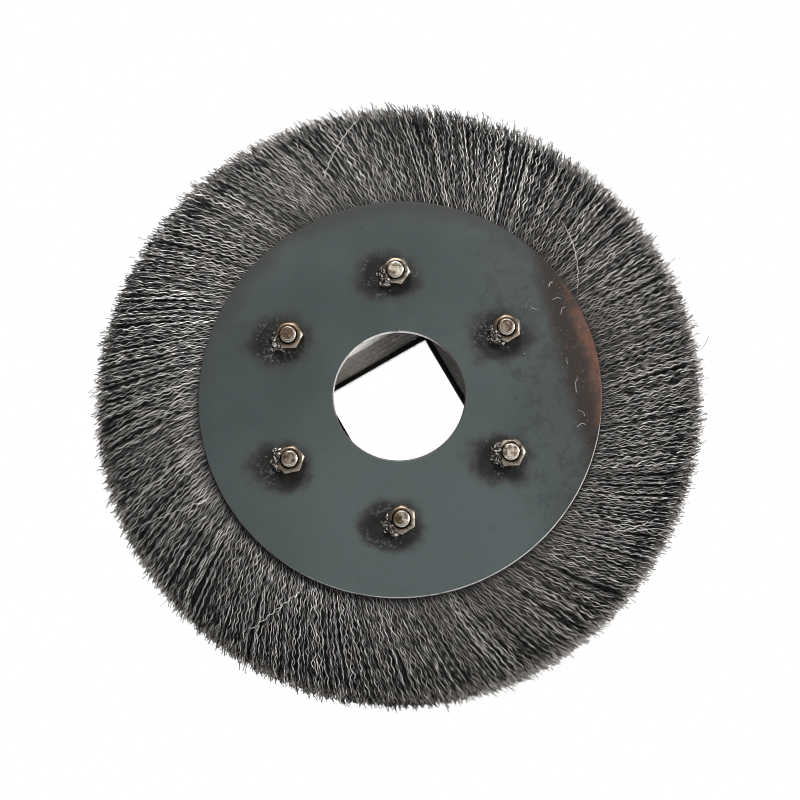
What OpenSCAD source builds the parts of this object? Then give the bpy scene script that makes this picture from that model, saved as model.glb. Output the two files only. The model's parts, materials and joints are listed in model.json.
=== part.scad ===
// Crimped-wire wheel brush: five wire sections clamped between two steel side plates.
// The wheel stands upright, its axis along Y and its front plate facing -Y.
// The origin is on the axis, at the middle of the width.

/* [Brush] */
// Diameter over the wire tips
brush_d = 300; // [280:5:330]
// Number of wire sections side by side
sections = 5; // [3:1:6]
// Width of one section where it is clamped
section_w = 10.4; // [9:0.2:14]
// How far the wire face swells past the clamped width at the tips, each side
face_swell = 2.5; // [1:0.5:3]
// Rounding of the outer corner of the wire face
tip_round = 4.5; // [3:0.5:6]

/* [Side plates] */
// Diameter of both side plates
plate_d = 200; // [190:5:220]
// Thickness of both side plates
plate_t = 3; // [2:0.5:5]
// Round hole in the front plate
front_hole_d = 65; // [62:1:72]
// Side of the square hole in the rear plate, which fits the shaft
rear_square = 60; // [50:1:62]

/* [Core] */
// Outside diameter of the core plates, where the wire sections start
core_d = 150; // [146:1:156]
// Side of the square hole in the core plates
core_square = 65; // [60:1:67]
// Turn of both square holes, seen from the front
square_turn = 28.5; // [0:0.5:60]
// Thickness of the hoop that each wire section is folded round
hoop_wire_d = 4.4; // [3:0.2:5]

/* [Fasteners] */
// Number of tie bolts
bolts = 6; // [6:6:12]
// Circle that the tie bolts lie on
bolt_circle_d = 125; // [122:1:130]
// Thread size of the tie bolts
bolt_d = 8; // [6:1:8]
// Clearance hole for a tie bolt
bolt_hole_d = 8.4; // [8.4:0.1:9]
// Width across the flats of nuts and bolt heads
hex_af = 13; // [13:0.5:14]
// Height of a nut
nut_h = 6.5; // [5:0.5:8]
// Height of a bolt head
head_h = 5.3; // [4:0.1:6]
// Length of bolt that stands out of its nut
bolt_end = 3.2; // [2:0.2:5]

/* [Hidden] */
$fn = 96;

stack_w = sections * section_w;
stack_front = stack_w / 2;
plate_front = stack_front + plate_t;
tip_r = brush_d / 2;
core_r = core_d / 2;
plate_r = plate_d / 2;
// Length over which the wire face swells to its full width, beyond the plate rim
swell_len = 16;
hoop_r = core_r + hoop_wire_d / 2;
hoop_gap = 0.2;
bolt_circle_r = bolt_circle_d / 2;
bolt_chamfer = 1;
hex_corner_d = hex_af / cos(30);
// Cone that rounds the corners off a nut or a bolt head: its flat end and its slope
hex_top_d = hex_af * 0.93;
hex_bevel_h = (hex_corner_d - hex_top_d) / 2 * tan(30);
nut_hole_d = bolt_d + 0.1;
nut_sink_d = 10;
nut_sink_h = 1;
// Turn of each nut, and the side that its tack weld is on, from the top bolt clockwise
nut_turns = [-8, 30, 0, 30, 10, 0];
weld_turns = [205, 212, 185, 205, 170, 205];
weld_r = 3.6;
weld_out = 7.3;
weld_up = 1.9;
// Longer than any hole, so that every cut goes right through
past = 200;

// Turns a shape drawn as seen from the front, +Z towards the viewer, upright to face -Y
module upright() rotate([90, 0, 0]) children();

// Where section i of the stack starts, counted from the front
function section_back(i) = stack_front - i * section_w;

function bolt_turn(k) = 90 - k * 360 / bolts;

// Puts its children at tie bolt k
module at_bolt(k) rotate(bolt_turn(k)) translate([bolt_circle_r, 0, 0]) rotate(-bolt_turn(k)) children();

module bolt_holes() for (k = [0:bolts - 1]) at_bolt(k) cylinder(d = bolt_hole_d, h = past, center = true);

module square_hole(side) rotate(square_turn) cube([side, side, past], center = true);

// A hexagon with its outer corners bevelled at the top
module hex_block(height) intersection() {
    cylinder(d = hex_corner_d, h = height, $fn = 6);
    union() {
        cylinder(d = hex_corner_d + 1, h = height - hex_bevel_h);
        translate([0, 0, height - hex_bevel_h])
            cylinder(d1 = hex_corner_d, d2 = hex_top_d, h = hex_bevel_h);
    }
}

module front_plate() color("slategray") upright()
    difference() {
        translate([0, 0, stack_front]) cylinder(d = plate_d, h = plate_t);
        cylinder(d = front_hole_d, h = past, center = true);
        bolt_holes();
    }

module rear_plate() color("slategray") upright()
    difference() {
        translate([0, 0, -plate_front]) cylinder(d = plate_d, h = plate_t);
        square_hole(rear_square);
        bolt_holes();
    }

module core_plate(i) color(i == 1 ? "silver" : "gray") upright()
    difference() {
        translate([0, 0, section_back(i)]) cylinder(r = core_r, h = section_w);
        square_hole(core_square);
        bolt_holes();
    }

module retaining_hoop(i) color("dimgray") upright()
    translate([0, 0, section_back(i) + section_w / 2])
        rotate_extrude() translate([hoop_r, 0]) circle(d = hoop_wire_d, $fn = 32);

// One wire section, cut through: radius to the right, width upwards from 0.
// rise is how far the section's upper face swells past the plate's inner face.
function section_half(rise) = rise == 0
    ? [[tip_r, section_w], [core_r, section_w]]
    : concat(
        [for (a = [0:15:90]) [tip_r - tip_round * (1 - cos(a)), section_w + rise - tip_round * (1 - sin(a))]],
        [[plate_r + swell_len, section_w + rise], [plate_r, section_w], [core_r, section_w]]
    );

function flipped(points) = [for (k = [len(points) - 1:-1:0]) [points[k][0], section_w - points[k][1]]];

module wire_ring(i) color("darkgray") upright()
    translate([0, 0, section_back(i)]) rotate_extrude() difference() {
        polygon(concat(section_half(i == 1 ? face_swell : 0), flipped(section_half(i == sections ? face_swell : 0))));
        translate([hoop_r, section_w / 2]) circle(d = hoop_wire_d + 2 * hoop_gap, $fn = 32);
        translate([core_r - 1, section_w / 2 - hoop_wire_d / 2 - hoop_gap])
            square([hoop_r - core_r + 1, hoop_wire_d + 2 * hoop_gap]);
    }

module tie_bolts() color("dimgray") upright()
    for (k = [0:bolts - 1]) at_bolt(k) {
        front_end = plate_front + nut_h + bolt_end;
        translate([0, 0, -plate_front]) cylinder(d = bolt_d, h = plate_front + front_end - bolt_chamfer);
        translate([0, 0, front_end - bolt_chamfer])
            cylinder(d1 = bolt_d, d2 = bolt_d - 2 * bolt_chamfer, h = bolt_chamfer);
        translate([0, 0, -plate_front]) mirror([0, 0, 1]) hex_block(head_h);
    }

module front_nuts() color("tan") upright()
    for (k = [0:bolts - 1]) at_bolt(k) translate([0, 0, plate_front])
        difference() {
            rotate(nut_turns[k % 6]) hex_block(nut_h);
            cylinder(d = nut_hole_d, h = past, center = true);
            translate([0, 0, nut_h - nut_sink_h])
                cylinder(d1 = nut_hole_d, d2 = nut_sink_d, h = nut_sink_h + 0.01);
        }

// A bead of weld on the plate against one side of each nut
module tack_welds() color("dimgray") upright()
    for (k = [0:bolts - 1]) at_bolt(k) translate([0, 0, plate_front])
        difference() {
            rotate(weld_turns[k % 6]) translate([weld_out, 0, weld_up]) sphere(r = weld_r, $fn = 48);
            rotate(nut_turns[k % 6]) cylinder(d = hex_corner_d, h = past, center = true, $fn = 6);
            translate([0, 0, -past]) cylinder(d = hex_corner_d * 4, h = past);
        }

front_plate();
rear_plate();
for (i = [1:sections]) {
    core_plate(i);
    retaining_hoop(i);
    wire_ring(i);
}
tie_bolts();
front_nuts();
tack_welds();
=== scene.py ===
"""Looks of the wire wheel brush, in metres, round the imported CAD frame.

The wheel's axis is Y and its front plate faces -Y. Angles run anticlockwise from +X, seen from the front.
"""

import json
import math

import bmesh
import bpy
import numpy as np
from mathutils import Matrix, Vector, noise
from mathutils.geometry import delaunay_2d_cdt


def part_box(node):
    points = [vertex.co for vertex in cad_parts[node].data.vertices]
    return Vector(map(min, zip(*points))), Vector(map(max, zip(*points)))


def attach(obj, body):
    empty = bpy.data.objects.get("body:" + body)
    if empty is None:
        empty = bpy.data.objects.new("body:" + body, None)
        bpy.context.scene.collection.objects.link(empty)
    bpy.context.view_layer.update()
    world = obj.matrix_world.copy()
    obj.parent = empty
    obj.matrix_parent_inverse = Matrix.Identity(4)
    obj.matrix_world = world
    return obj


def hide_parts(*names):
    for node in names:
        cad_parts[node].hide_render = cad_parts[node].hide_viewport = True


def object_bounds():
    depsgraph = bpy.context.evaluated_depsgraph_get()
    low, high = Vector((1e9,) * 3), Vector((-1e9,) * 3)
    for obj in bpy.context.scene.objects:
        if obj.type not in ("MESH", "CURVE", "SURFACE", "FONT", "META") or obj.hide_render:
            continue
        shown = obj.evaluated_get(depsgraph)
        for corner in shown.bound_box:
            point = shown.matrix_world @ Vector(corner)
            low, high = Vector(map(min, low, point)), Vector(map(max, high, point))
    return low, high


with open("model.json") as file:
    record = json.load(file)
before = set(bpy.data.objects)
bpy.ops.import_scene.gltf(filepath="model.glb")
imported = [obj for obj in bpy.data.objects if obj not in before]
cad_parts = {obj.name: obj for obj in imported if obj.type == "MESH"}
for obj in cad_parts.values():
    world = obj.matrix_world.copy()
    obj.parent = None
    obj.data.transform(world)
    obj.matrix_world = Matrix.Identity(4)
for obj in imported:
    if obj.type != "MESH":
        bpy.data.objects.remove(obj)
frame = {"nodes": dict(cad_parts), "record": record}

MM = 0.001
TURN = 2 * math.pi
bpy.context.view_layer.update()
SECTIONS = 5


def reach(node):
    """A round node's outer radius."""
    low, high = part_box(node)
    return max(high[0] - low[0], high[2] - low[2]) / 2


# Sizes read from the CAD nodes
PLATE_R = reach("front_plate")
PLATE_FRONT = -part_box("front_plate")[0][1]
STACK_FRONT = -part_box("front_plate")[1][1]
SECTION_W = 2 * STACK_FRONT / SECTIONS
FACE_FRONT = -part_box("wire_ring_1")[0][1]
TIP_R = reach("wire_ring_3")
CORE_R = reach("core_plate_1")
BOLT_FRONT = -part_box("tie_bolts")[0][1]
BOLT_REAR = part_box("tie_bolts")[1][1]
NUT_FRONT = -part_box("front_nuts")[0][1]
HOLE_R = next(m for m in frame["record"]["mounts"] if m["kind"] == "bore")["dims"]["r_mm"] * MM

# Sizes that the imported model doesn't state
BOLTS = 6
BOLT_CIRCLE_R = 62.5 * MM
BOLT_R = 4 * MM
BOLT_HOLE_R = 4.2 * MM
HEX_AF = 13 * MM
REAR_SQUARE = 60 * MM
CORE_SQUARE = 65 * MM
SQUARE_TURN = math.radians(28.5)
TIP_ROUND = 3 * MM
SWELL_LEN = 16 * MM

# Directions in the row frame: to the rusty side of the front plate, and the way the faces with painted
# highlights look
RUSTY_WAY = (0.979, 0.0, 0.205)
HIGHLIGHT_WAY = (0.5, 0.0, -0.87)
# From each bolt to the middle of its scorched spot
SOOT_SHIFT = np.array([-5.0, -2.2]) * MM

# The turn of each nut and the side of its weld, from the top bolt clockwise
NUT_TURNS = [math.radians(a) for a in (-8, 30, 0, 30, 10, 0)]
WELD_TURNS = [math.radians(a) for a in (205, 212, 185, 205, 170, 205)]
# How brown each bolt's end is
END_TINTS = [0.2, 0.75, 0.1, 0.5, 0.65, 0.95]
# How much browner its left half is than the middle
END_SPLITS = [0, 0, 0, 0.6, 0.1, 0]


# ---------------------------------------------------------------- meshes


def build(name, points, groups, material, attributes=(), layout=None):
    """A mesh object.

    groups are (faces of one size, smooth), attributes are (name, value for each point) and layout is the
    place of each face corner on the piece's own map.
    """
    mesh = bpy.data.meshes.new(name)
    points = np.asarray(points, np.float32).reshape(-1, 3)
    groups = [(np.asarray(faces, np.int32), smooth) for faces, smooth in groups if len(faces)]
    loops = np.concatenate([faces.ravel() for faces, _ in groups])
    sizes = np.concatenate([np.full(len(faces), faces.shape[1]) for faces, _ in groups])
    mesh.vertices.add(len(points))
    mesh.vertices.foreach_set("co", points.ravel())
    mesh.loops.add(len(loops))
    mesh.loops.foreach_set("vertex_index", loops)
    mesh.polygons.add(len(sizes))
    mesh.polygons.foreach_set("loop_start", (np.cumsum(sizes) - sizes).astype(np.int32))
    smooth = np.concatenate([np.full(len(faces), flag) for faces, flag in groups])
    mesh.update(calc_edges=True)
    mesh.polygons.foreach_set("use_smooth", smooth)
    for label, values in attributes:
        layer = mesh.attributes.new(label, "FLOAT", "POINT")
        layer.data.foreach_set("value", np.asarray(values, np.float32))
    if layout is not None:
        mesh.uv_layers.new(name="OFBake").data.foreach_set("uv", np.asarray(layout, np.float32).ravel())
    mesh.materials.append(material)
    made = bpy.data.objects.new(name, mesh)
    bpy.context.scene.collection.objects.link(made)
    return made


def hang(piece, slot, *nodes):
    """Puts a piece on the wheel's one body and hides the CAD nodes that it stands for; its material slot is
    not used.
    """
    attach(piece, "root")
    if nodes:
        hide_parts(*nodes)


def upright(local):
    """Turns points drawn as seen from the front, z towards the viewer, into the row frame."""
    local = np.asarray(local, float)
    return np.stack([local[..., 0], -local[..., 2], local[..., 1]], axis=-1)


def ring_faces(rings, sides, start=0):
    """Quads that join rings of points, each ring closed."""
    ring, side = np.meshgrid(np.arange(rings - 1), np.arange(sides), indexing="ij")
    after = (side + 1) % sides
    return start + np.stack(
        [ring * sides + side, ring * sides + after, (ring + 1) * sides + after, (ring + 1) * sides + side],
        axis=-1,
    ).reshape(-1, 4)


def bolt_place(k):
    """Where tie bolt k is, seen from the front."""
    angle = TURN / 4 - k * TURN / BOLTS
    return np.array([BOLT_CIRCLE_R * math.cos(angle), BOLT_CIRCLE_R * math.sin(angle)])


# ---------------------------------------------------------------- materials


class Look:
    """A procedural material, built node by node."""

    def __init__(self, name, metallic, roughness):
        self.material = bpy.data.materials.new(name)
        self.material.use_nodes = True
        self.tree = self.material.node_tree
        self.shader = self.tree.nodes["Principled BSDF"]
        self.shader.inputs["Metallic"].default_value = metallic
        self.shader.inputs["Roughness"].default_value = roughness
        self.place = self.tree.nodes.new("ShaderNodeTexCoord").outputs["Object"]

    def add(self, kind, inputs=(), **settings):
        node = self.tree.nodes.new("ShaderNode" + kind)
        for key, value in settings.items():
            setattr(node, key, value)
        for key, value in dict(inputs).items():
            if isinstance(value, bpy.types.NodeSocket):
                self.tree.links.new(value, node.inputs[key])
            else:
                node.inputs[key].default_value = value
        return node

    def math(self, operation, a, b=0.0):
        return self.add("Math", {0: a, 1: b}, operation=operation).outputs[0]

    def both(self, a, b):
        return self.math("MULTIPLY", a, b)

    def noise(self, scale, detail=4.0, stretch=None, rough=0.55):
        where = self.place
        if stretch is not None:
            where = self.add("Mapping", {"Vector": where, "Scale": stretch}).outputs[0]
        inputs = {"Vector": where, "Scale": scale, "Detail": detail, "Roughness": rough}
        return self.add("TexNoise", inputs).outputs["Fac"]

    def specks(self, scale, share, size):
        """Small round spots: one in some cells of a grid of cells."""
        cells = self.add("TexVoronoi", {"Vector": self.place, "Scale": scale})
        dice = self.add("SeparateColor", {0: cells.outputs["Color"]}).outputs[0]
        chosen = self.step(dice, share, share - 0.02)
        return self.both(chosen, self.step(cells.outputs["Distance"], size, 0.6 * size))

    def step(self, value, low, high):
        """0 at low and 1 at high, smoothly, whichever of the two is the greater."""
        inputs = {"Value": value, "From Min": min(low, high), "From Max": max(low, high)}
        if low > high:
            inputs.update({"To Min": 1.0, "To Max": 0.0})
        return self.add("MapRange", inputs, interpolation_type="SMOOTHSTEP").outputs[0]

    def range(self, value, low, high):
        return self.add("MapRange", {"Value": value, "To Min": low, "To Max": high}).outputs[0]

    def mix(self, factor, a, b, share=1.0):
        """Colours a and b, each three numbers or a socket, mixed by factor times share."""
        inputs = {0: self.both(factor, share) if share != 1.0 else factor}
        for key, value in ((6, a), (7, b)):
            inputs[key] = value if isinstance(value, bpy.types.NodeSocket) else (*value, 1.0)
        return self.add("Mix", inputs, data_type="RGBA", clamp_factor=True).outputs[2]

    def attribute(self, name):
        return self.add("Attribute", attribute_name=name).outputs["Fac"]

    def near(self, centre, stretch=(1.0, 1.0, 1.0)):
        """Distance from a point in the row frame, in metres."""
        gap = self.add("VectorMath", {0: self.place, 1: centre}, operation="SUBTRACT").outputs[0]
        gap = self.add("VectorMath", {0: gap, 1: stretch}, operation="MULTIPLY").outputs[0]
        return self.add("VectorMath", {0: gap}, operation="LENGTH").outputs["Value"]

    def along(self, direction):
        """How far a point is along a direction in the row frame, in metres."""
        return self.add("VectorMath", {0: self.place, 1: direction}, operation="DOT_PRODUCT").outputs["Value"]

    def radius(self):
        """Distance from the wheel's axis."""
        return self.near((0.0, 0.0, 0.0), (1.0, 0.0, 1.0))

    def faces(self, direction):
        """The cosine between the surface's normal and a direction in the row frame."""
        normal = self.add("TexCoord").outputs["Normal"]
        return self.add("VectorMath", {0: normal, 1: direction}, operation="DOT_PRODUCT").outputs["Value"]

    def ragged(self, value, scale, depth):
        """A distance with its edge made ragged by up to about half of depth."""
        return self.math("ADD", value, self.both(self.math("SUBTRACT", self.noise(scale, 5.0), 0.5), depth))

    def bump(self, height, depth):
        node = self.add("Bump", {"Height": height, "Distance": depth})
        self.tree.links.new(node.outputs["Normal"], self.shader.inputs["Normal"])

    def link(self, value, socket):
        self.tree.links.new(value, self.shader.inputs[socket])


def wire_look(name, deep, dark, light, tip):
    """Drawn, crimped steel: wires differ in tone, dirt and painted shade darken them deep between each other,
    and cut ends are browner.
    """
    look = Look(name, metallic=0.8, roughness=0.3)
    colour = look.mix(look.attribute("tone"), dark, light)
    colour = look.mix(look.step(look.noise(230.0, 2.0), 0.42, 0.62), colour, dark, 0.3)
    colour = look.mix(look.step(look.noise(1100.0, 3.0), 0.5, 0.72), colour, dark, 0.5)
    rust = look.step(look.ragged(look.attribute("along"), 300.0, 0.06), 0.955, 1.01)
    ends = look.mix(look.attribute("tone"), (0.02, 0.016, 0.013), tip)
    colour = look.mix(rust, colour, ends, 0.65)
    # the depth attribute darkens towards deep, near black: dirt, and painted shade between the wires
    look.link(look.mix(look.attribute("depth"), colour, deep), "Base Color")
    look.link(look.range(look.noise(700.0, 2.0), 0.28, 0.50), "Roughness")
    return look.material


def fill_look():
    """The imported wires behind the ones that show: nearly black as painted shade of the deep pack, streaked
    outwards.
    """
    look = Look("packed_wire_painted_shade", metallic=0.2, roughness=0.8)
    streaks = look.noise(700.0, 5.0)
    # painted shade: the packed wires are nearly black, standing for the shade deep in the pack
    look.link(look.mix(streaks, (0.004, 0.004, 0.004), (0.020, 0.019, 0.018)), "Base Color")
    look.bump(streaks, 0.6 * MM)
    return look.material


def plate_look(name, front):
    """Hot-rolled steel with blue-grey mill scale, rusty at the rim and, at the front, scorched by welding;
    with a painted sheen, painted edge highlights and, at the rear, painted shade.
    """
    look = Look(name, metallic=0.3, roughness=0.4)
    look.shader.inputs["Specular IOR Level"].default_value = 0.25
    cloud = look.noise(13.0, 4.0)
    fine = look.noise(170.0, 7.0)
    out = look.radius()
    colour = look.mix(look.step(cloud, 0.36, 0.66), (0.031, 0.039, 0.039), (0.045, 0.055, 0.055))
    # painted reflection: a lighter sheen towards the lower middle of the plate
    painted_sheen = look.step(look.near((0.01, 0, -0.075), (0.75, 0, 1.0)), 92 * MM, 20 * MM)
    colour = look.mix(painted_sheen, colour, (0.059, 0.074, 0.073), 0.7)
    colour = look.mix(look.step(fine, 0.52, 0.78), colour, (0.034, 0.040, 0.038), 0.4)
    colour = look.mix(look.specks(420.0, 0.05, 0.20), colour, (0.08, 0.09, 0.09), 0.5)
    rim = look.step(look.ragged(out, 60.0, 16 * MM), 0.90 * PLATE_R, 0.99 * PLATE_R)
    rim = look.both(rim, look.step(look.along((0.4, 0.0, 0.92)), -60 * MM, 30 * MM))
    colour = look.mix(rim, colour, (0.026, 0.027, 0.025), 0.8)
    rough = look.range(fine, 0.30, 0.50)
    if front:
        side = look.along(RUSTY_WAY)
        colour = look.mix(look.step(side, 45 * MM, 78 * MM), colour, (0.034, 0.040, 0.039), 0.55)
        brown = look.step(look.ragged(side, 90.0, 11 * MM), 77 * MM, 86 * MM)
        colour = look.mix(brown, colour, (0.020, 0.014, 0.011), 0.95)
        red = look.step(look.ragged(side, 130.0, 16 * MM), 90 * MM, 98 * MM)
        mottle = look.range(look.noise(420.0, 6.0, rough=0.7), 0.25, 1.25)
        colour = look.mix(look.both(red, mottle), colour, (0.112, 0.052, 0.035), 0.9)
        grit = look.both(brown, look.specks(900.0, 0.22, 0.30))
        colour = look.mix(grit, colour, (0.20, 0.13, 0.09), 0.6)
        stained = look.step(look.noise(150.0, 10.0, rough=0.72), 0.5, 0.60)
        stained = look.both(stained, look.step(side, 40 * MM, 62 * MM))
        colour = look.mix(stained, colour, (0.018, 0.020, 0.021), 0.45)
        soot = None
        for k in range(BOLTS):
            x, z = bolt_place(k) + SOOT_SHIFT
            spot = look.near((x, -PLATE_FRONT, z), (0.88, 1.0, 1.08))
            soot = spot if soot is None else look.math("MINIMUM", soot, spot)
        soot = look.ragged(soot, 85.0, 16 * MM)
        patchy = look.range(look.noise(130.0, 6.0, rough=0.7), 0.45, 1.2)
        haze = look.both(look.step(soot, 18 * MM, 10.5 * MM), patchy)
        colour = look.mix(haze, colour, (0.015, 0.013, 0.009), 0.9)
        halo = look.both(look.step(soot, 15.5 * MM, 9 * MM), look.range(look.noise(170.0, 5.0), 0.5, 1.3))
        colour = look.mix(halo, colour, (0.004, 0.0035, 0.003), 0.95)
        dusty = look.step(look.noise(90.0, 3.0), 0.44, 0.56)
        dust = look.both(look.step(look.noise(700.0, 7.0), 0.50, 0.66), dusty)
        colour = look.mix(look.both(dust, halo), colour, (0.11, 0.122, 0.128), 0.65)
        rough = look.math("ADD", rough, look.both(halo, 0.3))
    edge = look.step(look.math("ABSOLUTE", look.faces((0.0, 1.0, 0.0))), 0.97, 0.75)
    # painted highlight: the plate's edges are brown steel, near white where they face down and to the right
    edge_colour_and_highlight = look.mix(look.step(look.faces(HIGHLIGHT_WAY), 0.1, 0.7), (0.085, 0.065, 0.052), (0.95, 0.93, 0.90))
    edge_colour_and_highlight = look.mix(look.step(look.noise(240.0, 5.0), 0.50, 0.70), edge_colour_and_highlight, (0.16, 0.11, 0.08), 0.7)
    if front:
        edge_colour_and_highlight = look.mix(red, edge_colour_and_highlight, (0.06, 0.03, 0.022))
    else:
        # painted shade: the rear plate's front face, seen as a ledge through the hole, is near black
        shaded_front_face = look.step(look.faces((0.0, -1.0, 0.0)), 0.9, 0.97)
        colour = look.mix(shaded_front_face, colour, (0.004, 0.004, 0.004))
    look.link(look.mix(edge, colour, edge_colour_and_highlight), "Base Color")
    look.link(look.math("MAXIMUM", look.both(edge, 0.8), 0.12), "Metallic")
    look.link(rough, "Roughness")
    look.bump(look.math("ADD", fine, look.both(look.noise(40.0, 3.0), 2.0)), 0.04 * MM)
    return look.material


def core_look(name, dark, light, highlight_colour):
    """Flame-cut edges: streaks and marks along the wall, partly painted glints, a painted highlight on walls
    facing down and to the right, and painted shade towards the upper right corner and on the flat faces.
    """
    look = Look(name, metallic=0.2, roughness=0.55)
    look.shader.inputs["Specular IOR Level"].default_value = 0.1
    streaks = look.noise(60.0, 6.0, (1.0, 9.0, 1.0), 0.65)
    colour = look.mix(look.step(streaks, 0.38, 0.62), dark, light)
    joints = look.step(look.noise(25.0, 2.0, (0.15, 26.0, 0.15)), 0.44, 0.40)
    colour = look.mix(joints, colour, (0.012, 0.011, 0.010), 0.8)
    # painted highlight: walls that face down and to the right are lighter
    painted_highlight = look.step(look.faces(HIGHLIGHT_WAY), 0.6, 0.9)
    colour = look.mix(painted_highlight, colour, highlight_colour)
    # painted shade: the walls darken towards the upper right corner of the hole
    to_corner = look.math("ADD", look.along((0.88, 0.0, 0.48)), look.both(streaks, 6 * MM))
    painted_shade = look.step(to_corner, -8 * MM, 20 * MM)
    colour = look.mix(painted_shade, colour, (0.018, 0.015, 0.012), 0.9)
    pits = look.step(look.noise(420.0, 5.0, (1.0, 2.5, 1.0), 0.7), 0.46, 0.40)
    colour = look.mix(pits, colour, (0.016, 0.013, 0.011), 0.5)
    # bright marks: scratches, and painted glints
    marks_and_glints = look.step(look.noise(330.0, 3.0, (1.0, 2.5, 1.0)), 0.62, 0.66)
    colour = look.mix(marks_and_glints, colour, (0.66, 0.63, 0.58), 0.8)
    rust = look.step(look.noise(320.0, 3.0), 0.64, 0.70)
    colour = look.mix(rust, colour, (0.12, 0.06, 0.04), 0.6)
    # painted shade: the blocks' flat faces, in shade under the plates where a sliver shows, are near black
    shaded_flat_faces = look.step(look.math("ABSOLUTE", look.faces((0.0, 1.0, 0.0))), 0.5, 0.8)
    look.link(look.mix(shaded_flat_faces, colour, (0.012, 0.011, 0.010)), "Base Color")
    look.bump(streaks, 0.25 * MM)
    return look.material


def fastener_look(name, dark, light, tinted):
    """Brown steel: one attribute is 1 on worn edges, which get a painted highlight where they face down and
    to the right, and -1 in grooves darkened by grime and painted shade; tint is brownness.
    """
    look = Look(name, metallic=0.9, roughness=0.34)
    patches = look.noise(430.0, 6.0, rough=0.65)
    colour = look.mix(look.step(patches, 0.40, 0.60), dark, light)
    colour = look.mix(look.attribute("tint"), colour, tinted, 0.9)
    colour = look.mix(look.step(look.noise(900.0, 3.0), 0.58, 0.66), colour, (0.03, 0.025, 0.02), 0.7)
    # worn edges, with a painted highlight where they face down and to the right
    wear_and_highlight = look.both(look.attribute("edges_and_grooves"), look.step(look.faces((0.75, 0.0, -0.66)), -0.5, 0.5))
    colour = look.mix(wear_and_highlight, colour, (0.85, 0.80, 0.72), 0.95)
    # grooves near black: grime, and painted shade in the recesses
    grime_and_shade = look.step(look.attribute("edges_and_grooves"), 0.0, -0.8)
    look.link(look.mix(grime_and_shade, colour, (0.008, 0.007, 0.006)), "Base Color")
    look.link(look.range(patches, 0.24, 0.48), "Roughness")
    look.bump(look.noise(1500.0, 4.0), 0.03 * MM)
    return look.material


def weld_look():
    """Tack welds: black scale with bright, glassy spots."""
    look = Look("weld_metal", metallic=0.9, roughness=0.3)
    spots = look.noise(650.0, 4.0, rough=0.6)
    colour = look.mix(look.step(spots, 0.48, 0.60), (0.03, 0.026, 0.023), (0.60, 0.56, 0.52))
    colour = look.mix(look.step(look.noise(380.0, 3.0), 0.60, 0.70), colour, (0.16, 0.08, 0.04), 0.8)
    look.link(colour, "Base Color")
    look.link(look.range(spots, 0.55, 0.2), "Roughness")
    look.bump(look.noise(900.0, 4.0), 0.08 * MM)
    return look.material


def hoop_look():
    """The drawn wire of the hoops, inside the wheel."""
    look = Look("hoop_steel", metallic=0.9, roughness=0.4)
    patches = look.noise(300.0, 5.0)
    look.link(look.mix(look.step(patches, 0.36, 0.64), (0.14, 0.13, 0.12), (0.30, 0.29, 0.28)), "Base Color")
    look.bump(look.noise(900.0), 0.03 * MM)
    return look.material


# ---------------------------------------------------------------- crimped wires

WIRE_R = 0.23 * MM
CRIMP_LEN = 4.8 * MM
CRIMP_HEIGHT = 0.45 * MM
GOLDEN = 0.618034
FACE_WIRES = 3600
FACE_PARTS = 10
FACE_RINGS = 56
FACE_DEPTH = 4.0 * MM
ROOT_R = PLATE_R - 4 * MM
TIPS_PER_SECTION = 5600
TIP_RINGS = 4
TIP_STUB = 10 * MM
FILL_R = TIP_R - 6 * MM


def lean_at(angle):
    """How far the wires lean from straight outwards, in radians: less on the upper right than elsewhere."""
    gap = (angle - math.radians(28) + math.pi) % TURN - math.pi
    return math.radians(22) - math.radians(19) * np.exp(-((gap / math.radians(33)) ** 2))


def tip_radius(angle):
    """The brush is trimmed a little off centre."""
    return TIP_R - 1.5 * MM * np.cos(angle) + 0.5 * MM * np.sin(angle)


def half_width(radius):
    """Half the width of the wires: clamped under the plates, then swelling."""
    grown = np.clip((radius - PLATE_R) / SWELL_LEN, 0, 1)
    grown = grown * grown * (3 - 2 * grown)
    return STACK_FRONT + (FACE_FRONT - STACK_FRONT) * grown


def waves(rng, count, low, high, slope):
    """Terms of a smooth random pattern round the wheel: (waves per turn, phase, phase per metre)."""
    return list(zip(rng.integers(low, high, count), rng.random(count) * TURN, rng.normal(0, slope, count)))


def pattern(terms, angle, along):
    """The pattern's value, with mean 0 and spread about 1, at an angle and some metres along."""
    total = sum(np.sin(n * angle + phase + slope * along) for n, phase, slope in terms)
    return total / math.sqrt(len(terms) / 2)


# The tufts of the tread, which the faces' wires and the cut ends share
TUFTS = waves(np.random.default_rng(9), 14, 60, 230, 900)


def wander(rng, count, radius, low, high, height):
    """A slow bend of each wire's own, its length between low and high."""
    length = rng.uniform(low, high, count)[:, None]
    size = height * rng.normal(0, 1, count)[:, None]
    return size * np.sin(TURN * (radius / length + rng.random(count)[:, None]))


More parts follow.
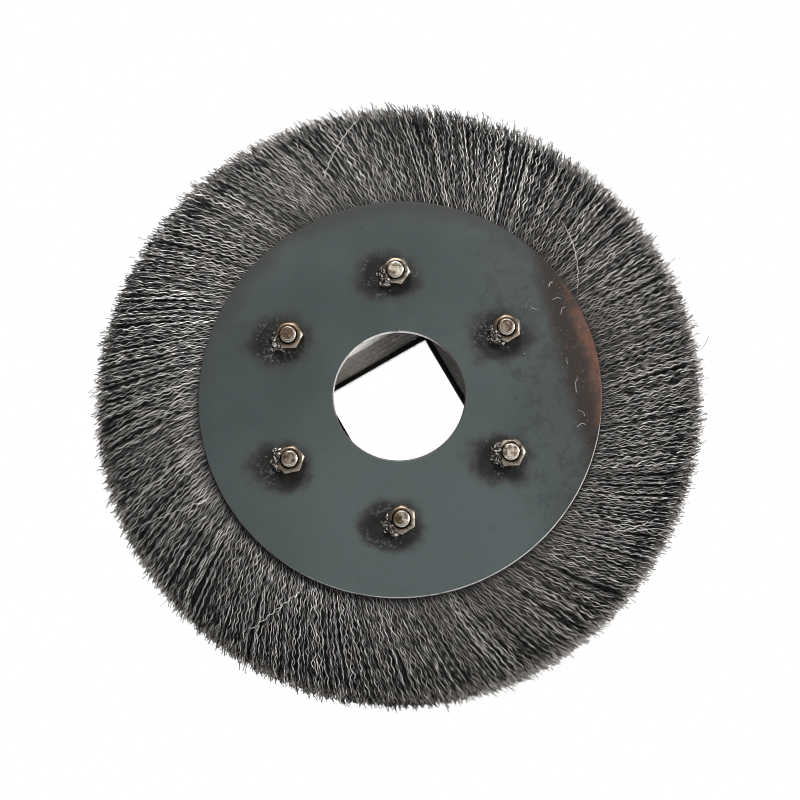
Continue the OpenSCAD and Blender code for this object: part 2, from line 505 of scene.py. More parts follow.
def tubes(name, paths, tone, deep, rows, material, first=0.0):
    """One mesh of closed three-sided wires along paths, an array of wire, point, coordinate.

    tone is each wire's lightness and deep how dark each point is, from dirt and painted shade. The wires'
    maps lie in rows, and first is how far along the whole wire the piece starts.
    """
    wires, rings, _ = paths.shape
    ahead = np.gradient(paths, axis=1)
    ahead /= np.linalg.norm(ahead, axis=2, keepdims=True)
    side = np.cross(ahead, (0, 1, 0))
    side /= np.linalg.norm(side, axis=2, keepdims=True)
    up = np.cross(side, ahead)
    corners = [
        paths + WIRE_R * (math.cos(turn) * side + math.sin(turn) * up) for turn in (0, TURN / 3, 2 * TURN / 3)
    ]
    points = np.stack(corners, axis=2)
    each = ring_faces(rings, 3)[:, ::-1]
    start = np.arange(wires)[:, None, None] * rings * 3
    root = start[:, 0] + np.array([0, 1, 2])
    tip = start[:, 0] + (rings - 1) * 3 + np.array([2, 1, 0])
    groups = [((each + start).reshape(-1, 4), True), (np.concatenate([root, tip]), False)]

    ring, edge = np.meshgrid(np.arange(rings - 1), np.arange(3), indexing="ij")
    across = np.stack([edge, edge + 1, edge + 1, edge], axis=-1)[..., ::-1] / 3
    onward = np.stack([ring, ring, ring + 1, ring + 1], axis=-1)[..., ::-1] / rings
    sheet = np.stack([across, onward], axis=-1).reshape(-1, 2)
    root_map = np.array([[0, 0], [1, 0], [0.5, 0.5 / rings]])
    tip_map = np.array([[0, 1], [1, 1], [0.5, 1 - 0.5 / rings]])
    columns = -(-wires // rows)
    cell = np.stack([np.arange(wires) % columns, np.arange(wires) // columns], axis=1)[:, None]
    size = np.array([columns, rows])
    layout = [(cell + 0.1 + 0.8 * spot) / size for spot in (sheet, root_map, tip_map)]
    layout = np.concatenate([part.reshape(-1, 2) for part in layout])

    along = np.broadcast_to(np.linspace(first, 1, rings)[None, :, None], (wires, rings, 3))
    tones = np.broadcast_to(tone[:, None, None], (wires, rings, 3))
    dirt_and_shade = np.broadcast_to(deep[:, :, None], (wires, rings, 3))
    attributes = [("along", along.ravel()), ("tone", tones.ravel()), ("depth", dirt_and_shade.ravel())]
    return build(name, points, groups, material, attributes, layout)


def rounded(depth):
    """How much shorter the wires at some depth are, as the tread's corner is rounded."""
    corner = np.clip(1 - depth / TIP_ROUND, 0, 1)
    return TIP_ROUND * (1 - np.sqrt(1 - corner**2))


def cut_length(rng, angle, across):
    """How much longer wires at places of the tread are: tufts are cut alike, and a few wires stick out."""
    count = len(angle)
    proud = np.where(rng.random(count) < 0.06, rng.uniform(0.8 * MM, 2.8 * MM, count), 0)
    proud = proud + np.where(rng.random(count) < 0.006, rng.uniform(1.0 * MM, 3.0 * MM, count), 0)
    return 1.3 * MM * pattern(TUFTS, angle, across) + rng.normal(-0.5 * MM, 0.85 * MM, count) + proud


def face_wires(rng, side, label, node, material):
    """The long wires of one face, side -1 at the front and 1 at the rear, in equal parts round the wheel."""
    count = FACE_WIRES
    order = np.arange(count)
    base = (order + rng.random(count)) * TURN / count
    depth = WIRE_R + (FACE_DEPTH - WIRE_R) * (order * GOLDEN % 1) ** 1.3
    lean = lean_at(base)
    turn_out = np.tan(lean) * math.log(TIP_R / ROOT_R)
    end = tip_radius(base + turn_out) - rounded(depth)
    end = end + cut_length(rng, base + turn_out, side * (FACE_FRONT - depth))
    radius = ROOT_R + (end - ROOT_R)[:, None] * np.linspace(0, 1, FACE_RINGS)
    free = np.clip((radius - PLATE_R) / (12 * MM), 0, 1)

    # The crimp: some neighbours are in step, and each wire's crimp lies in a plane of its own
    strands = waves(rng, 8, 60, 200, 8)
    phase = 1.6 * pattern(strands, base, depth * 40) + rng.normal(0, 0.6, count)
    phase = phase + np.where(rng.random(count) < 0.6, rng.random(count) * TURN, 0)
    length = CRIMP_LEN * rng.normal(1, 0.06, count)[:, None]
    height = CRIMP_HEIGHT * rng.uniform(0.7, 1.3, count)[:, None]
    plane = rng.normal(0, 0.85, count)[:, None]
    wave = height * np.sin(TURN * radius / length + phase[:, None])
    # Slower bends sideways, and small clumps
    own = rng.normal(0, 0.02, count)[:, None] * (radius - ROOT_R)
    bends = wander(rng, count, radius, 9 * MM, 20 * MM, 0.28 * MM)
    clumps = waves(rng, 16, 8, 45, 190)
    gather = 0.25 * MM * pattern(clumps, base[:, None], radius + 9 * depth[:, None])
    angle = base[:, None] + np.tan(lean)[:, None] * np.log(radius / ROOT_R)
    angle = angle + (wave * np.cos(plane) + own + (gather + bends) * free) / radius

    # How far each point is under the face: wires dip below each other
    lift = wander(rng, count, radius, 7 * MM, 16 * MM, 0.42 * MM)
    under = depth[:, None] - (wave * np.sin(plane) + lift) * np.maximum(free, 0.1)
    under = np.where(under > WIRE_R, under, WIRE_R + 0.3 * (under - WIRE_R))
    under = np.maximum(under, -0.5 * MM * free)
    out = side * (half_width(radius) - under)
    paths = np.stack([radius * np.cos(angle), out, radius * np.sin(angle)], axis=2)
    tone = np.clip(rng.normal(0.5, 0.26, count), 0, 1)
    # Dirt and painted shade grow with depth, less where the rounded corner uncovers deeper wires
    bared = 0.65 * rounded(np.maximum(tip_radius(angle) - radius, 0))
    deep = 1 - np.exp(-np.maximum(under - bared - 0.25 * MM, 0) / (0.34 * MM))
    # painted shadow: wires just outside the plate's rim are darkened as if in its shade
    shaded = 0.75 * np.exp(-np.maximum(radius - PLATE_R, 0) / (2.5 * MM))
    deep = 1 - (1 - deep) * (1 - shaded)
    for part in range(FACE_PARTS):
        mine = slice(part * count // FACE_PARTS, (part + 1) * count // FACE_PARTS)
        piece = tubes(f"{label}_wires_{part + 1}", paths[mine], tone[mine], deep[mine], 4, material)
        hang(piece, "crimped_wire", node)


def tip_wires(rng, section, material):
    """The cut ends of one section, which show on the tread."""
    count = TIPS_PER_SECTION
    front = -STACK_FRONT + (section - 1) * SECTION_W
    low = -FACE_FRONT if section == 1 else front
    high = FACE_FRONT if section == SECTIONS else front + SECTION_W
    base = (np.arange(count) + rng.random(count)) * TURN / count
    across = low + (high - low) * rng.random(count)
    trimmed = tip_radius(base) - rounded(FACE_FRONT - np.abs(across))
    end = trimmed + cut_length(rng, base, across) - 0.7 * MM
    back = TIP_STUB * (np.linspace(0, 1, TIP_RINGS) - 1)
    radius = end[:, None] + back
    lean = lean_at(base) + rng.normal(0, 0.22, count)
    side_lean = rng.normal(0, 0.14, count)
    bend = rng.normal(0, 0.4 * MM, (2, count, TIP_RINGS))
    gather = 0.8 * MM * pattern(waves(rng, 12, 50, 130, 300), base, across)
    spread = 0.7 * MM * pattern(waves(rng, 12, 50, 130, 300), base, across)
    angle = base[:, None] + (np.tan(lean)[:, None] * back + bend[0] + gather[:, None]) / radius
    y = across[:, None] + side_lean[:, None] * back + bend[1] + spread[:, None]
    y = np.clip(y, -FACE_FRONT, FACE_FRONT)
    paths = np.stack([radius * np.cos(angle), y, radius * np.sin(angle)], axis=2)
    tone = np.clip(rng.normal(0.5, 0.27, count), 0, 1)
    # dirt and painted shade: the cut ends darken further back from the tip
    deep = np.clip((trimmed[:, None] - 1 * MM - radius) / (3 * MM), 0, 1)
    piece = tubes(f"tip_wires_{section}", paths, tone, deep, rows=40, material=material, first=0.8)
    hang(piece, "crimped_wire", f"wire_ring_{section}")


def packed_ring(rng, section, material):
    """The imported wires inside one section, behind those that show: a ring with ragged, streaked faces."""
    sides = 720
    angle = np.arange(sides) * TURN / sides
    front = -STACK_FRONT + (section - 1) * SECTION_W
    back = front + SECTION_W
    stations = [
        (CORE_R, 0.0), (PLATE_R - 1 * MM, 0.0), (PLATE_R + 2 * MM, 0.7), (PLATE_R + 12 * MM, 1.0),
        ((PLATE_R + FILL_R) / 2, 1.0), (FILL_R - 3 * MM, 1.0), (FILL_R, 1.3),
    ]
    ripple = waves(rng, 16, 90, 300, 90)
    rings = []
    for radius, sink in stations:
        y = np.full(sides, front)
        if section == 1:
            rough = 0.5 * MM * pattern(ripple, angle, radius)
            y = np.maximum(y, sink * (FACE_DEPTH + rough) - half_width(radius))
        rings.append((radius + 0.3 * MM * pattern(ripple, angle, 0), y))
    for radius, sink in reversed(stations):
        y = np.full(sides, back)
        if section == SECTIONS:
            rough = 0.5 * MM * pattern(ripple, angle, radius)
            y = np.minimum(y, half_width(radius) - sink * (FACE_DEPTH + rough))
        rings.append((radius + 0.3 * MM * pattern(ripple, angle, 0), y))
    points = [np.stack([r * np.cos(angle), y, r * np.sin(angle)], axis=1) for r, y in rings]
    faces = ring_faces(len(rings) + 1, sides) % (sides * len(rings))
    piece = build(f"packed_wire_painted_shade_{section}", np.concatenate(points), [(faces, True)], material)
    hang(piece, "crimped_wire", f"wire_ring_{section}")


def stray_wires(rng, material):
    """Single wires that left the row: seven across the front face, and some bent out of the rim."""
    rings = 40
    paths = []
    # Across the face: first and last angle, first and last radius, and bow
    for start, end, start_r, end_r, bow in (
        (46, 29, 121, 103, 1.5), (-78, -72, 104, 143, -1.5), (150, 161, 112, 146, 2),
        (207, 205, 106, 148, -2.5), (108, 96, 118, 148, 1.2), (-38, -27, 115, 141, 2),
        (-118, -124, 108, 139, -1.5),
    ):
        along = np.linspace(0, 1, rings)
        angle = np.radians(start + (end - start) * along)
        radius = (start_r + (end_r - start_r) * along + bow * np.sin(math.pi * along)) * MM
        length = math.hypot((end_r - start_r) * MM, np.mean(radius) * math.radians(end - start))
        wave = CRIMP_HEIGHT * np.sin(TURN * along * length / CRIMP_LEN + rng.random() * TURN)
        sunk = 1.2 * MM * (1 - np.sin(math.pi * along)) + rounded(tip_radius(angle) - radius)
        lift = half_width(radius) - 0.1 * MM - sunk
        angle = angle + wave / radius
        paths.append(np.stack([radius * np.cos(angle), -lift, radius * np.sin(angle)], axis=1))
    # Out of the rim: angle, how far out, curl, and distance behind the front face
    for degrees, reach_out, curl, depth in (
        (7, 8, 7, 3), (64, 4, -2, 2), (101, 5, 2, 4), (133, 4, -3, 9), (176, 5, 3, 6), (221, 5, -3, 2),
        (252, 4, 3, 20), (287, 5, 3, 4), (318, 5, -3, 12), (349, 4, 2, 3), (38, 4, 3, 30), (82, 4, -2, 40),
    ):
        along = np.linspace(0, 1, rings)
        angle = math.radians(degrees)
        radius = tip_radius(angle) + (-8 + (8 + reach_out) * along) * MM
        sway = curl * MM * np.clip(along - 0.35, 0, 1) ** 2 * 2.2 + 0.3 * MM * np.sin(TURN * along * 2.3)
        turned = angle + (lean_at(np.array(angle)) * (along - 1) * 12 * MM + sway) / radius
        deep = np.full(rings, (depth * MM) - FACE_FRONT) + 0.4 * MM * np.sin(TURN * along * 1.7)
        paths.append(np.stack([radius * np.cos(turned), deep, radius * np.sin(turned)], axis=1))
    paths = np.array(paths)
    count = len(paths)
    tone = rng.uniform(0.7, 1.0, count)
    piece = tubes("stray_wires", paths, tone, np.zeros((count, rings)), 1, material)
    hang(piece, "crimped_wire")


def scraps(rng, material):
    """Broken bits of wire that lie on the front plate near its rusty side."""
    rings = 14
    paths = []
    # Angle and radius of the middle, direction, length and bend
    for degrees, radius, turn, length, bend in (
        (35, 94, 60, 3.2, 0.6), (30, 92, 10, 4.2, 1.0), (26, 92, 60, 4.5, 0.9), (10, 85, 95, 3.4, 0.5),
        (1.5, 88, 85, 7.5, 0.8), (-7.6, 90, -40, 4.6, 1.0), (-11.6, 91, 20, 4.5, 1.0), (34, 79, 55, 4.6, 0.7),
        (32, 80, -30, 4.0, -0.6),
    ):
        along = np.linspace(-0.5, 0.5, rings)
        flow, cross = along * length, bend * (1 - 4 * along**2) + 0.12 * np.sin(TURN * along * 1.6)
        c, s = math.cos(math.radians(turn)), math.sin(math.radians(turn))
        x = radius * math.cos(math.radians(degrees)) + c * flow - s * cross
        z = radius * math.sin(math.radians(degrees)) + s * flow + c * cross
        y = np.full(rings, -PLATE_FRONT - 0.2 * MM)
        paths.append(np.stack([x * MM, y, z * MM], axis=1))
    paths = np.array(paths)
    tone = rng.uniform(0.1, 0.4, len(paths))
    piece = tubes("wire_scraps", paths, tone, np.zeros(paths.shape[:2]), 1, material)
    hang(piece, "crimped_wire")


# ---------------------------------------------------------------- plates


def circle_loop(centre, radius, count, slope=1.0):
    """A hole or rim: its points when grown by slope times some distance."""
    turn = np.arange(count) * TURN / count
    unit = np.stack([np.cos(turn), np.sin(turn)], axis=1)
    return lambda grow: centre + (radius + slope * grow) * unit


def square_loop(side, turn, count):
    """A square hole with count points on each side: its points when grown by some distance."""
    corners = [(1, -1), (1, 1), (-1, 1), (-1, -1)]
    steps = np.arange(count)[:, None] / count
    after = corners[1:] + corners[:1]
    unit = [np.array(a) + steps * (np.array(b) - np.array(a)) for a, b in zip(corners, after)]
    spin = np.array([[math.cos(turn), math.sin(turn)], [-math.sin(turn), math.cos(turn)]])
    return lambda grow: (side / 2 + grow) * np.concatenate(unit) @ spin


def inside(spots, loop):
    """Which spots lie in a convex loop, given anticlockwise."""
    ahead = np.roll(loop, -1, axis=0) - loop
    gap = spots[:, None] - loop
    return (ahead[:, 0] * gap[..., 1] - ahead[:, 1] * gap[..., 0] > 0).all(axis=1)


def plate(name, rim, holes, front, back, bevel, material):
    """A flat plate between z = back and z = front, seen from the front, with bevelled edges all round."""
    profile = [(bevel, front), (0.3 * bevel, front - 0.3 * bevel), (0.0, front - bevel)]
    profile += [(0.0, back + bevel), (0.3 * bevel, back + 0.3 * bevel), (bevel, back)]
    points, groups, loops, start = [], [], [], 0
    for loop, sign in [(rim, -1)] + [(hole, 1) for hole in holes]:
        count = len(loop(0))
        for inset, z in profile:
            points.append(np.column_stack([loop(sign * inset), np.full(count, z)]))
        faces = ring_faces(len(profile), count, start)
        groups.append((faces[:, ::-1] if sign == -1 else faces, True))
        loops.append((start, count))
        start += len(profile) * count
    points = np.concatenate(points)
    for skip, flip in ((0, False), (len(profile) - 1, True)):
        index = np.concatenate([np.arange(s + skip * n, s + (skip + 1) * n) for s, n in loops])
        edges, first = [], 0
        for _, n in loops:
            edges += [(first + i, first + (i + 1) % n) for i in range(n)]
            first += n
        flat = [Vector(p[:2]) for p in points[index]]
        cells = delaunay_2d_cdt(flat, edges, [], 0, 1e-9)[2]
        triangles = np.array(cells)
        middle = points[index][triangles].mean(axis=1)[:, :2]
        keep = np.hypot(*middle.T) < np.hypot(*rim(0)[0])
        for hole in holes:
            keep &= ~inside(middle, hole(bevel))
        triangles = index[triangles[keep]]
        groups.append((triangles[:, ::-1] if flip else triangles, False))
    return build(name, upright(points), groups, material)


def plates(front_look, rear_look, core_steel, highlighted_core_steel):
    bolt_holes = [circle_loop(bolt_place(k), BOLT_HOLE_R, 32) for k in range(BOLTS)]
    rim = circle_loop(np.zeros(2), PLATE_R, 256)
    holes = [circle_loop(np.zeros(2), HOLE_R, 192, 1.6)] + bolt_holes
    edge = 0.45 * MM
    piece = plate("front_side_plate", rim, holes, PLATE_FRONT, STACK_FRONT, edge, front_look)
    hang(piece, "side_plate_steel", "front_plate")
    square = square_loop(REAR_SQUARE, SQUARE_TURN, 12)
    piece = plate("rear_side_plate", rim, [square] + bolt_holes, -STACK_FRONT, -PLATE_FRONT, edge, rear_look)
    hang(piece, "side_plate_steel", "rear_plate")
    core_rim = circle_loop(np.zeros(2), CORE_R, 192)
    core_hole = square_loop(CORE_SQUARE, SQUARE_TURN, 12)
    for i in range(1, SECTIONS + 1):
        front = STACK_FRONT - (i - 1) * SECTION_W
        steel = highlighted_core_steel if i == 1 else core_steel
        name = f"core_block_{i}"
        piece = plate(name, core_rim, [core_hole] + bolt_holes, front, front - SECTION_W, 0.25 * MM, steel)
        hang(piece, "ground_core_steel" if i == 1 else "core_steel", f"core_plate_{i}")


# ---------------------------------------------------------------- nuts, bolts and welds

HEX_SIDES = 96
THREAD_PITCH = 1.25 * MM
THREAD_DEPTH = 0.5 * MM
NUT_HOLE_R = 4.05 * MM
NUT_SINK_R = 4.75 * MM


def hex_radius(angle, turn):
    """A hexagon's radius at each angle, its corners slightly rounded."""
    off = (angle - turn + TURN / 12) % (TURN / 6) - TURN / 12
    sharp = HEX_AF / 2 / np.cos(TURN / 12 - np.abs(off))
    return np.minimum(sharp, HEX_AF / 2 * 1.135)


def nut_rings(turn):
    """(radius, height over the plate, edge mark) of a nut's rings, from its thread outwards."""
    angle = np.arange(HEX_SIDES) * TURN / HEX_SIDES
    one = np.ones(HEX_SIDES)
    outer = hex_radius(angle, turn)
    flat_r = 0.45 * HEX_AF
    top = NUT_FRONT - PLATE_FRONT
    slope = top - (outer - flat_r) * math.tan(TURN / 11)
    return angle, [
        (NUT_HOLE_R * one, 0 * one, 0.0),
        (NUT_HOLE_R * one, top - 0.8 * MM * one, -1.0),
        (NUT_SINK_R * one, top - 0.1 * MM * one, -1.0),
        ((NUT_SINK_R + 0.1 * MM) * one, top * one, 0.2),
        ((NUT_SINK_R + 0.3 * MM) * one, top * one, 0.0),
        (flat_r * one, top * one, 0.1),
        (flat_r + 0.75 * (outer - flat_r), top + 0.75 * (slope - top), 0.15),
        (outer - 0.12 * MM, slope + 0.05 * MM, 0.6),
        (outer, slope - 0.12 * MM, 1.0),
        (outer, slope - 0.35 * MM, 0.2),
        (outer, slope - 0.9 * MM, 0.0),
        (outer, 0.15 * MM * one, 0.0),
        (outer - 0.15 * MM, 0 * one, 0.0),
    ]


def bolt_rings():
    """(radius, height over the plate, edge mark) of a bolt's rings, from its rear head to its threaded end.
    """
    angle = np.arange(HEX_SIDES) * TURN / HEX_SIDES
    one = np.ones(HEX_SIDES)
    outer = hex_radius(angle, 0.0)
    flat_r = 0.455 * HEX_AF
    under = -2 * PLATE_FRONT
    top = under - (BOLT_REAR - PLATE_FRONT)
    slope = top + (outer - flat_r) * math.tan(TURN / 12)
    rings = [
        (0.3 * flat_r * one, top * one, 0.0),
        (flat_r * one, top * one, 0.1),
        (outer - 0.06 * MM, slope, 0.8),
        (outer, slope + 0.12 * MM, 0.6),
        (outer, slope + 0.9 * MM, 0.0),
        (outer, under - 0.1 * MM * one, 0.0),
        (outer - 0.1 * MM, under * one, 0.0),
        (BOLT_R * one, under * one, 0.0),
        (BOLT_R * one, 2 * MM * one, 0.0),
    ]
    end = BOLT_FRONT - PLATE_FRONT
    for z in np.arange(4 * MM, end - 1.5 * MM, 0.1 * MM):
        tooth = np.abs((z / THREAD_PITCH - angle / TURN) % 1 - 0.5) * 2
        radius = BOLT_R - THREAD_DEPTH * np.clip(1.25 * tooth - 0.15, 0, 1)
        rings.append((radius, z * one, 0.25))
    last = BOLT_R - 0.62 * MM
    rings += [
        (BOLT_R * one, (end - 1.4 * MM) * one, 0.5),
        (BOLT_R * one, (end - 1.1 * MM) * one, 1.0),
        (last * one, (end - 0.75 * MM) * one, -1.0),
        ((last + 0.22 * MM) * one, (end - 0.45 * MM) * one, 0.2),
        (last * one, (end - 0.05 * MM) * one, 1.0),
        ((last - 0.15 * MM) * one, end * one, 0.6),
        ((last - 0.32 * MM) * one, end * one, 0.0),
        (0.5 * last * one, (end - 0.08 * MM) * one, 0.0),
        (0.1 * last * one, (end - 0.02 * MM) * one, 0.0),
    ]
    return angle, rings


def fasteners(name, shapes, closed, slot, node, material):
    """All six nuts or bolts in one mesh, from the angles and rings of each."""
    points, faces, caps, edges_and_grooves, tint = [], [], [], [], []
    for k, (angle, rings) in enumerate(shapes):
        x, y = bolt_place(k)
        start = k * len(rings) * HEX_SIDES
        for radius, z, edge_mark in rings:
            spots = [x + radius * np.cos(angle), y + radius * np.sin(angle), PLATE_FRONT + z]
            points.append(np.column_stack(spots))
            edges_and_grooves.append(np.full(HEX_SIDES, edge_mark))
            tint.append(END_TINTS[k] - END_SPLITS[k] * np.cos(angle))
        if closed:
            joined = ring_faces(len(rings) + 1, HEX_SIDES) % (len(rings) * HEX_SIDES)
            faces.append(start + joined[:, ::-1])
        else:
            loop = np.arange(HEX_SIDES)
            faces.append(ring_faces(len(rings), HEX_SIDES, start))
            caps += [start + loop[::-1], start + (len(rings) - 1) * HEX_SIDES + loop]
    groups = [(np.concatenate(faces), True), (np.array(caps), False)]
    attributes = [("edges_and_grooves", np.concatenate(edges_and_grooves)), ("tint", np.concatenate(tint))]
    piece = build(name, upright(np.concatenate(points)), groups, material, attributes)
    piece.data.set_sharp_from_angle(angle=math.radians(40))
    hang(piece, slot, node)


def lumps(rng, name, balls, voxel, ruffle, material):
    """Balls, each (centre, radius), melted into one lumpy mesh if there is a voxel size."""
    ready = bmesh.new()
    for centre, radius in balls:
        size = Matrix.Diagonal((*(radius * rng.uniform(0.85, 1.15, 3)), 1))
        detail = 3 if voxel else 2
        place = Matrix.Translation(centre) @ size
        bmesh.ops.create_icosphere(ready, subdivisions=detail, radius=1, matrix=place)
    mesh = bpy.data.meshes.new(name)
    ready.to_mesh(mesh)
    ready.free()
    if voxel:
        holder = bpy.data.objects.new(name, mesh)
        bpy.context.scene.collection.objects.link(holder)
        melt = holder.modifiers.new("melt", "REMESH")
        melt.mode = "VOXEL"
        melt.voxel_size = voxel
        soft = holder.modifiers.new("soft", "SMOOTH")
        soft.iterations = 3
        soft.factor = 0.6
        graph = bpy.context.evaluated_depsgraph_get()
        mesh = bpy.data.meshes.new_from_object(holder.evaluated_get(graph), depsgraph=graph)
        bpy.data.objects.remove(holder)
    shift = Vector(rng.random(3) * 10)
    for vertex in mesh.vertices:
        push = noise.noise(vertex.co * 900 + shift) + 0.5 * noise.noise(vertex.co * 2300 + shift)
        vertex.co += vertex.normal * push * ruffle
    mesh.shade_smooth()
    mesh.materials.clear()
    mesh.materials.append(material)
    mesh.name = name
    made = bpy.data.objects.new(name, mesh)
    bpy.context.scene.collection.objects.link(made)
    return made


def welds(rng, material):
    """A lumpy tack weld on one side of each nut, and spatter round it."""
    drops = []
    for k in range(BOLTS):
        x, z = bolt_place(k)
        beads = []
        # Angle from the weld's side, distance from the bolt, height over the plate, and radius
        for off, out, up, size in (
            (-0.75, 7.1, 1.6, 1.6), (-0.45, 7.4, 2.4, 2.0), (-0.15, 7.4, 3.0, 2.2), (0.2, 7.4, 2.6, 2.1),
            (0.5, 7.2, 2.0, 1.8), (0.75, 7.0, 1.4, 1.4), (-0.55, 6.8, 4.8, 1.5), (-0.1, 6.8, 5.4, 1.6),
            (0.35, 6.8, 5.0, 1.5), (0.1, 5.6, 6.6, 1.2), (-0.3, 5.7, 6.6, 1.1), (0.45, 5.7, 6.4, 1.0),
            (0.15, 9.2, 0.6, 1.7), (-0.35, 9.4, 0.4, 1.3),
        ):
            angle = WELD_TURNS[k] + off + rng.normal(0, 0.07)
            out = (out + rng.normal(0, 0.25)) * MM
            up = (up + rng.normal(0, 0.25)) * MM
            centre = (x + out * math.cos(angle), -PLATE_FRONT - up, z + out * math.sin(angle))
            beads.append((Vector(centre), size * MM * rng.uniform(0.85, 1.1)))
        piece = lumps(rng, f"weld_bead_{k + 1}", beads, 0.25 * MM, 0.32 * MM, material)
        hang(piece, "weld_metal", "tack_welds")
        for _ in range(9):
            angle = WELD_TURNS[k] + rng.normal(0, 0.8)
            out = (8.5 + abs(rng.normal(0, 4.5))) * MM
            size = rng.uniform(0.12, 0.32) * MM
            centre = (x + out * math.cos(angle), -PLATE_FRONT - 0.2 * size, z + out * math.sin(angle))
            drops.append((Vector(centre), size))
    # Drops on the edge of the round hole
    for degrees, size in ((91, 0.45), (94, 0.35), (88.5, 0.3), (5, 0.4), (8, 0.25), (141, 0.3)):
        angle = math.radians(degrees)
        out = HOLE_R + 0.4 * MM
        drops.append((Vector((out * math.cos(angle), -PLATE_FRONT, out * math.sin(angle))), size * MM))
    hang(lumps(rng, "weld_spatter", drops, None, 0.05 * MM, material), "weld_metal")


# ---------------------------------------------------------------- stage


def camera():
    """The viewer looks a little up at the front plate, slightly from the right."""
    azimuth, elevation, roll = (math.radians(a) for a in (2.48, -11.6, -1.39))
    distance = 0.9376
    focus = Vector((0.4 * MM, -PLATE_FRONT, -2.3 * MM))
    away = Vector((
        math.sin(azimuth) * math.cos(elevation), -math.cos(azimuth) * math.cos(elevation), math.sin(elevation)
    ))
    spot = Vector((0, -PLATE_FRONT, 0)) + away * distance
    ahead = (focus - spot).normalized()
    right = ahead.cross(Vector((0, 0, 1))).normalized()
    up = right.cross(ahead)
    right, up = right * math.cos(roll) + up * math.sin(roll), up * math.cos(roll) - right * math.sin(roll)
    data = bpy.data.cameras.new("camera")
    data.lens, data.sensor_width = 85.3, 36.0
    data.clip_start, data.clip_end = 0.05, 20.0
    made = bpy.data.objects.new("camera", data)
    made.matrix_world = Matrix.Translation(spot) @ Matrix((right, up, -ahead)).transposed().to_4x4()
    bpy.context.scene.collection.objects.link(made)
    bpy.context.scene.camera = made


def lamp(name, spot, aim, size, power):
    """A round area lamp at a spot: its diameter in metres and its power in watts."""
    data = bpy.data.lights.new(name, "AREA")
    data.shape, data.size, data.energy = "DISK", size, power
    made = bpy.data.objects.new(name, data)
    made.location = spot
    made.rotation_euler = (Vector(aim) - Vector(spot)).to_track_quat("-Z", "Y").to_euler()
    bpy.context.scene.collection.objects.link(made)


def studio():
    """Soft white light, mostly from above, in a white room that is dimmer than the camera sees it."""
    scene = bpy.context.scene
    scene.view_settings.view_transform = "Standard"
    # A narrow pixel filter keeps wires that are one pixel wide crisp
    scene.cycles.filter_width = 1.0
    world = bpy.data.worlds.new("studio")
    world.use_nodes = True
    scene.world = world
    nodes, links = world.node_tree.nodes, world.node_tree.links
    soft = nodes["Background"]
    soft.inputs["Color"].default_value = (1, 1, 1, 1)
    height = nodes.new("ShaderNodeSeparateXYZ")
    links.new(nodes.new("ShaderNodeTexCoord").outputs["Generated"], height.inputs[0])
    ramp = nodes.new("ShaderNodeMapRange")
    ramp.inputs["From Min"].default_value = -0.4
    ramp.inputs["To Min"].default_value = 0.10
    ramp.inputs["To Max"].default_value = 0.42
    links.new(height.outputs["Z"], ramp.inputs["Value"])
    links.new(ramp.outputs[0], soft.inputs["Strength"])
    white = nodes.new("ShaderNodeBackground")
    white.inputs["Strength"].default_value = 1.0
    white.inputs["Color"].default_value = (1, 1, 1, 1)
    seen = nodes.new("ShaderNodeLightPath").outputs["Is Camera Ray"]
    mixed = nodes.new("ShaderNodeMixShader")
    links.new(seen, mixed.inputs[0])
    links.new(soft.outputs[0], mixed.inputs[1])
    links.new(white.outputs[0], mixed.inputs[2])
    links.new(mixed.outputs[0], nodes["World Output"].inputs["Surface"])
    lamp("key", (-0.05, -1.3, 1.3), (0, 0, 0), size=0.5, power=31)
    lamp("right", (1.2, -0.8, 0.3), (0, 0, 0), size=0.3, power=17)
    lamp("back", (0.6, 1.4, 1.1), (0, 0, 0), size=1.0, power=15)


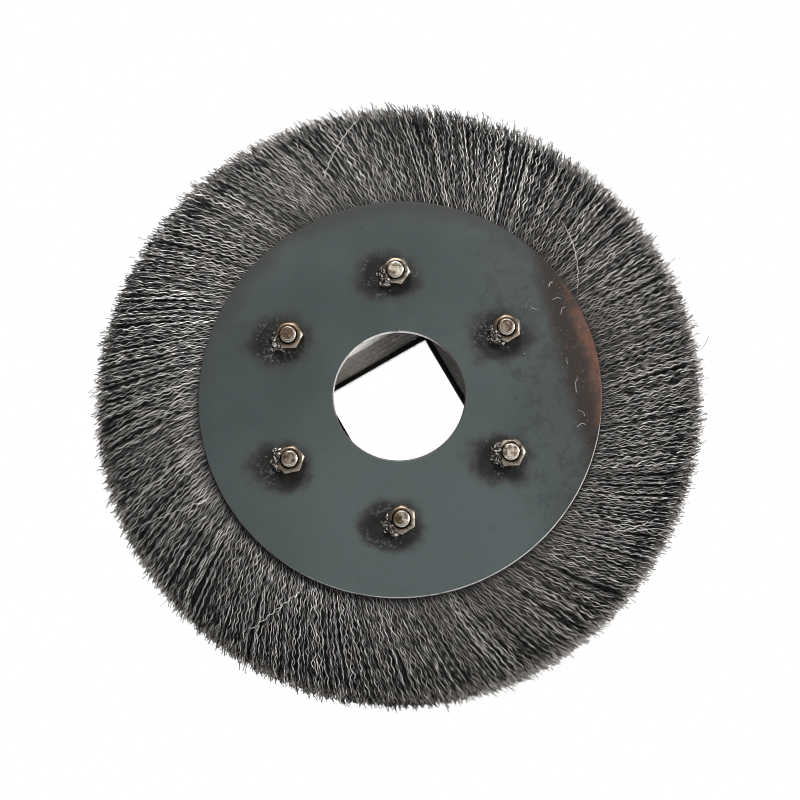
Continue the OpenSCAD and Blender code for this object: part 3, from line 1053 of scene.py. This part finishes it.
def floor(height):
    """A pale floor under the wheel, which shows only from above, as the camera is a little below it."""
    look = Look("pale_floor", metallic=0.0, roughness=0.8)
    look.shader.inputs["Base Color"].default_value = (0.86, 0.86, 0.86, 1)
    under = look.add("NewGeometry").outputs["Backfacing"]
    clear = look.add("BsdfTransparent").outputs[0]
    both = look.add("MixShader", {0: under, 1: look.shader.outputs[0], 2: clear})
    look.tree.links.new(both.outputs[0], look.tree.nodes["Material Output"].inputs["Surface"])
    half = 6.0
    corners = [(-half, -half, height), (half, -half, height), (half, half, height), (-half, half, height)]
    build("floor", corners, [(np.array([[0, 1, 2, 3]]), False)], look.material)


# ---------------------------------------------------------------- the wheel

camera()
studio()

# deep is near black: dirt, and painted shade between the wires
steel = wire_look(
    "wire_steel", deep=(0.008, 0.008, 0.008), dark=(0.125, 0.12, 0.115), light=(0.83, 0.80, 0.77),
    tip=(0.44, 0.35, 0.29),
)
packed = fill_look()
for ring in range(1, SECTIONS + 1):
    packed_ring(np.random.default_rng(40 + ring), ring, packed)
    tip_wires(np.random.default_rng(20 + ring), ring, steel)
face_wires(np.random.default_rng(1), -1, "front", "wire_ring_1", steel)
face_wires(np.random.default_rng(2), 1, "rear", f"wire_ring_{SECTIONS}", steel)
stray_wires(np.random.default_rng(3), steel)
scraps(np.random.default_rng(4), steel)

core_dark, core_light = (0.085, 0.070, 0.055), (0.20, 0.172, 0.145)
core_steel = core_look("sawn_core", core_dark, core_light, (0.24, 0.215, 0.185))
# the first core block's walls get a near-white painted highlight
highlighted_core_steel = core_look("highlighted_core", core_dark, core_light, (0.95, 0.93, 0.90))
front_look = plate_look("scorched_plate", front=True)
rear_look = plate_look("plain_plate", front=False)
plates(front_look, rear_look, core_steel, highlighted_core_steel)
nut_steel = fastener_look("nut_steel", (0.035, 0.023, 0.015), (0.20, 0.17, 0.13), (0.10, 0.06, 0.035))
bolt_steel = fastener_look("bolt_steel", (0.16, 0.11, 0.075), (0.62, 0.56, 0.47), (0.075, 0.038, 0.018))
nuts = [nut_rings(turn) for turn in NUT_TURNS]
fasteners("hexagon_nuts", nuts, closed=True, slot="nut_steel", node="front_nuts", material=nut_steel)
bolts = [bolt_rings()] * BOLTS
fasteners("hexagon_bolts", bolts, closed=False, slot="bolt_steel", node="tie_bolts", material=bolt_steel)
welds(np.random.default_rng(7), weld_look())
hoop_steel = hoop_look()
for ring in range(1, SECTIONS + 1):
    frame["nodes"][f"retaining_hoop_{ring}"].material_slots[0].material = hoop_steel

low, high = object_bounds()
floor(low[2])
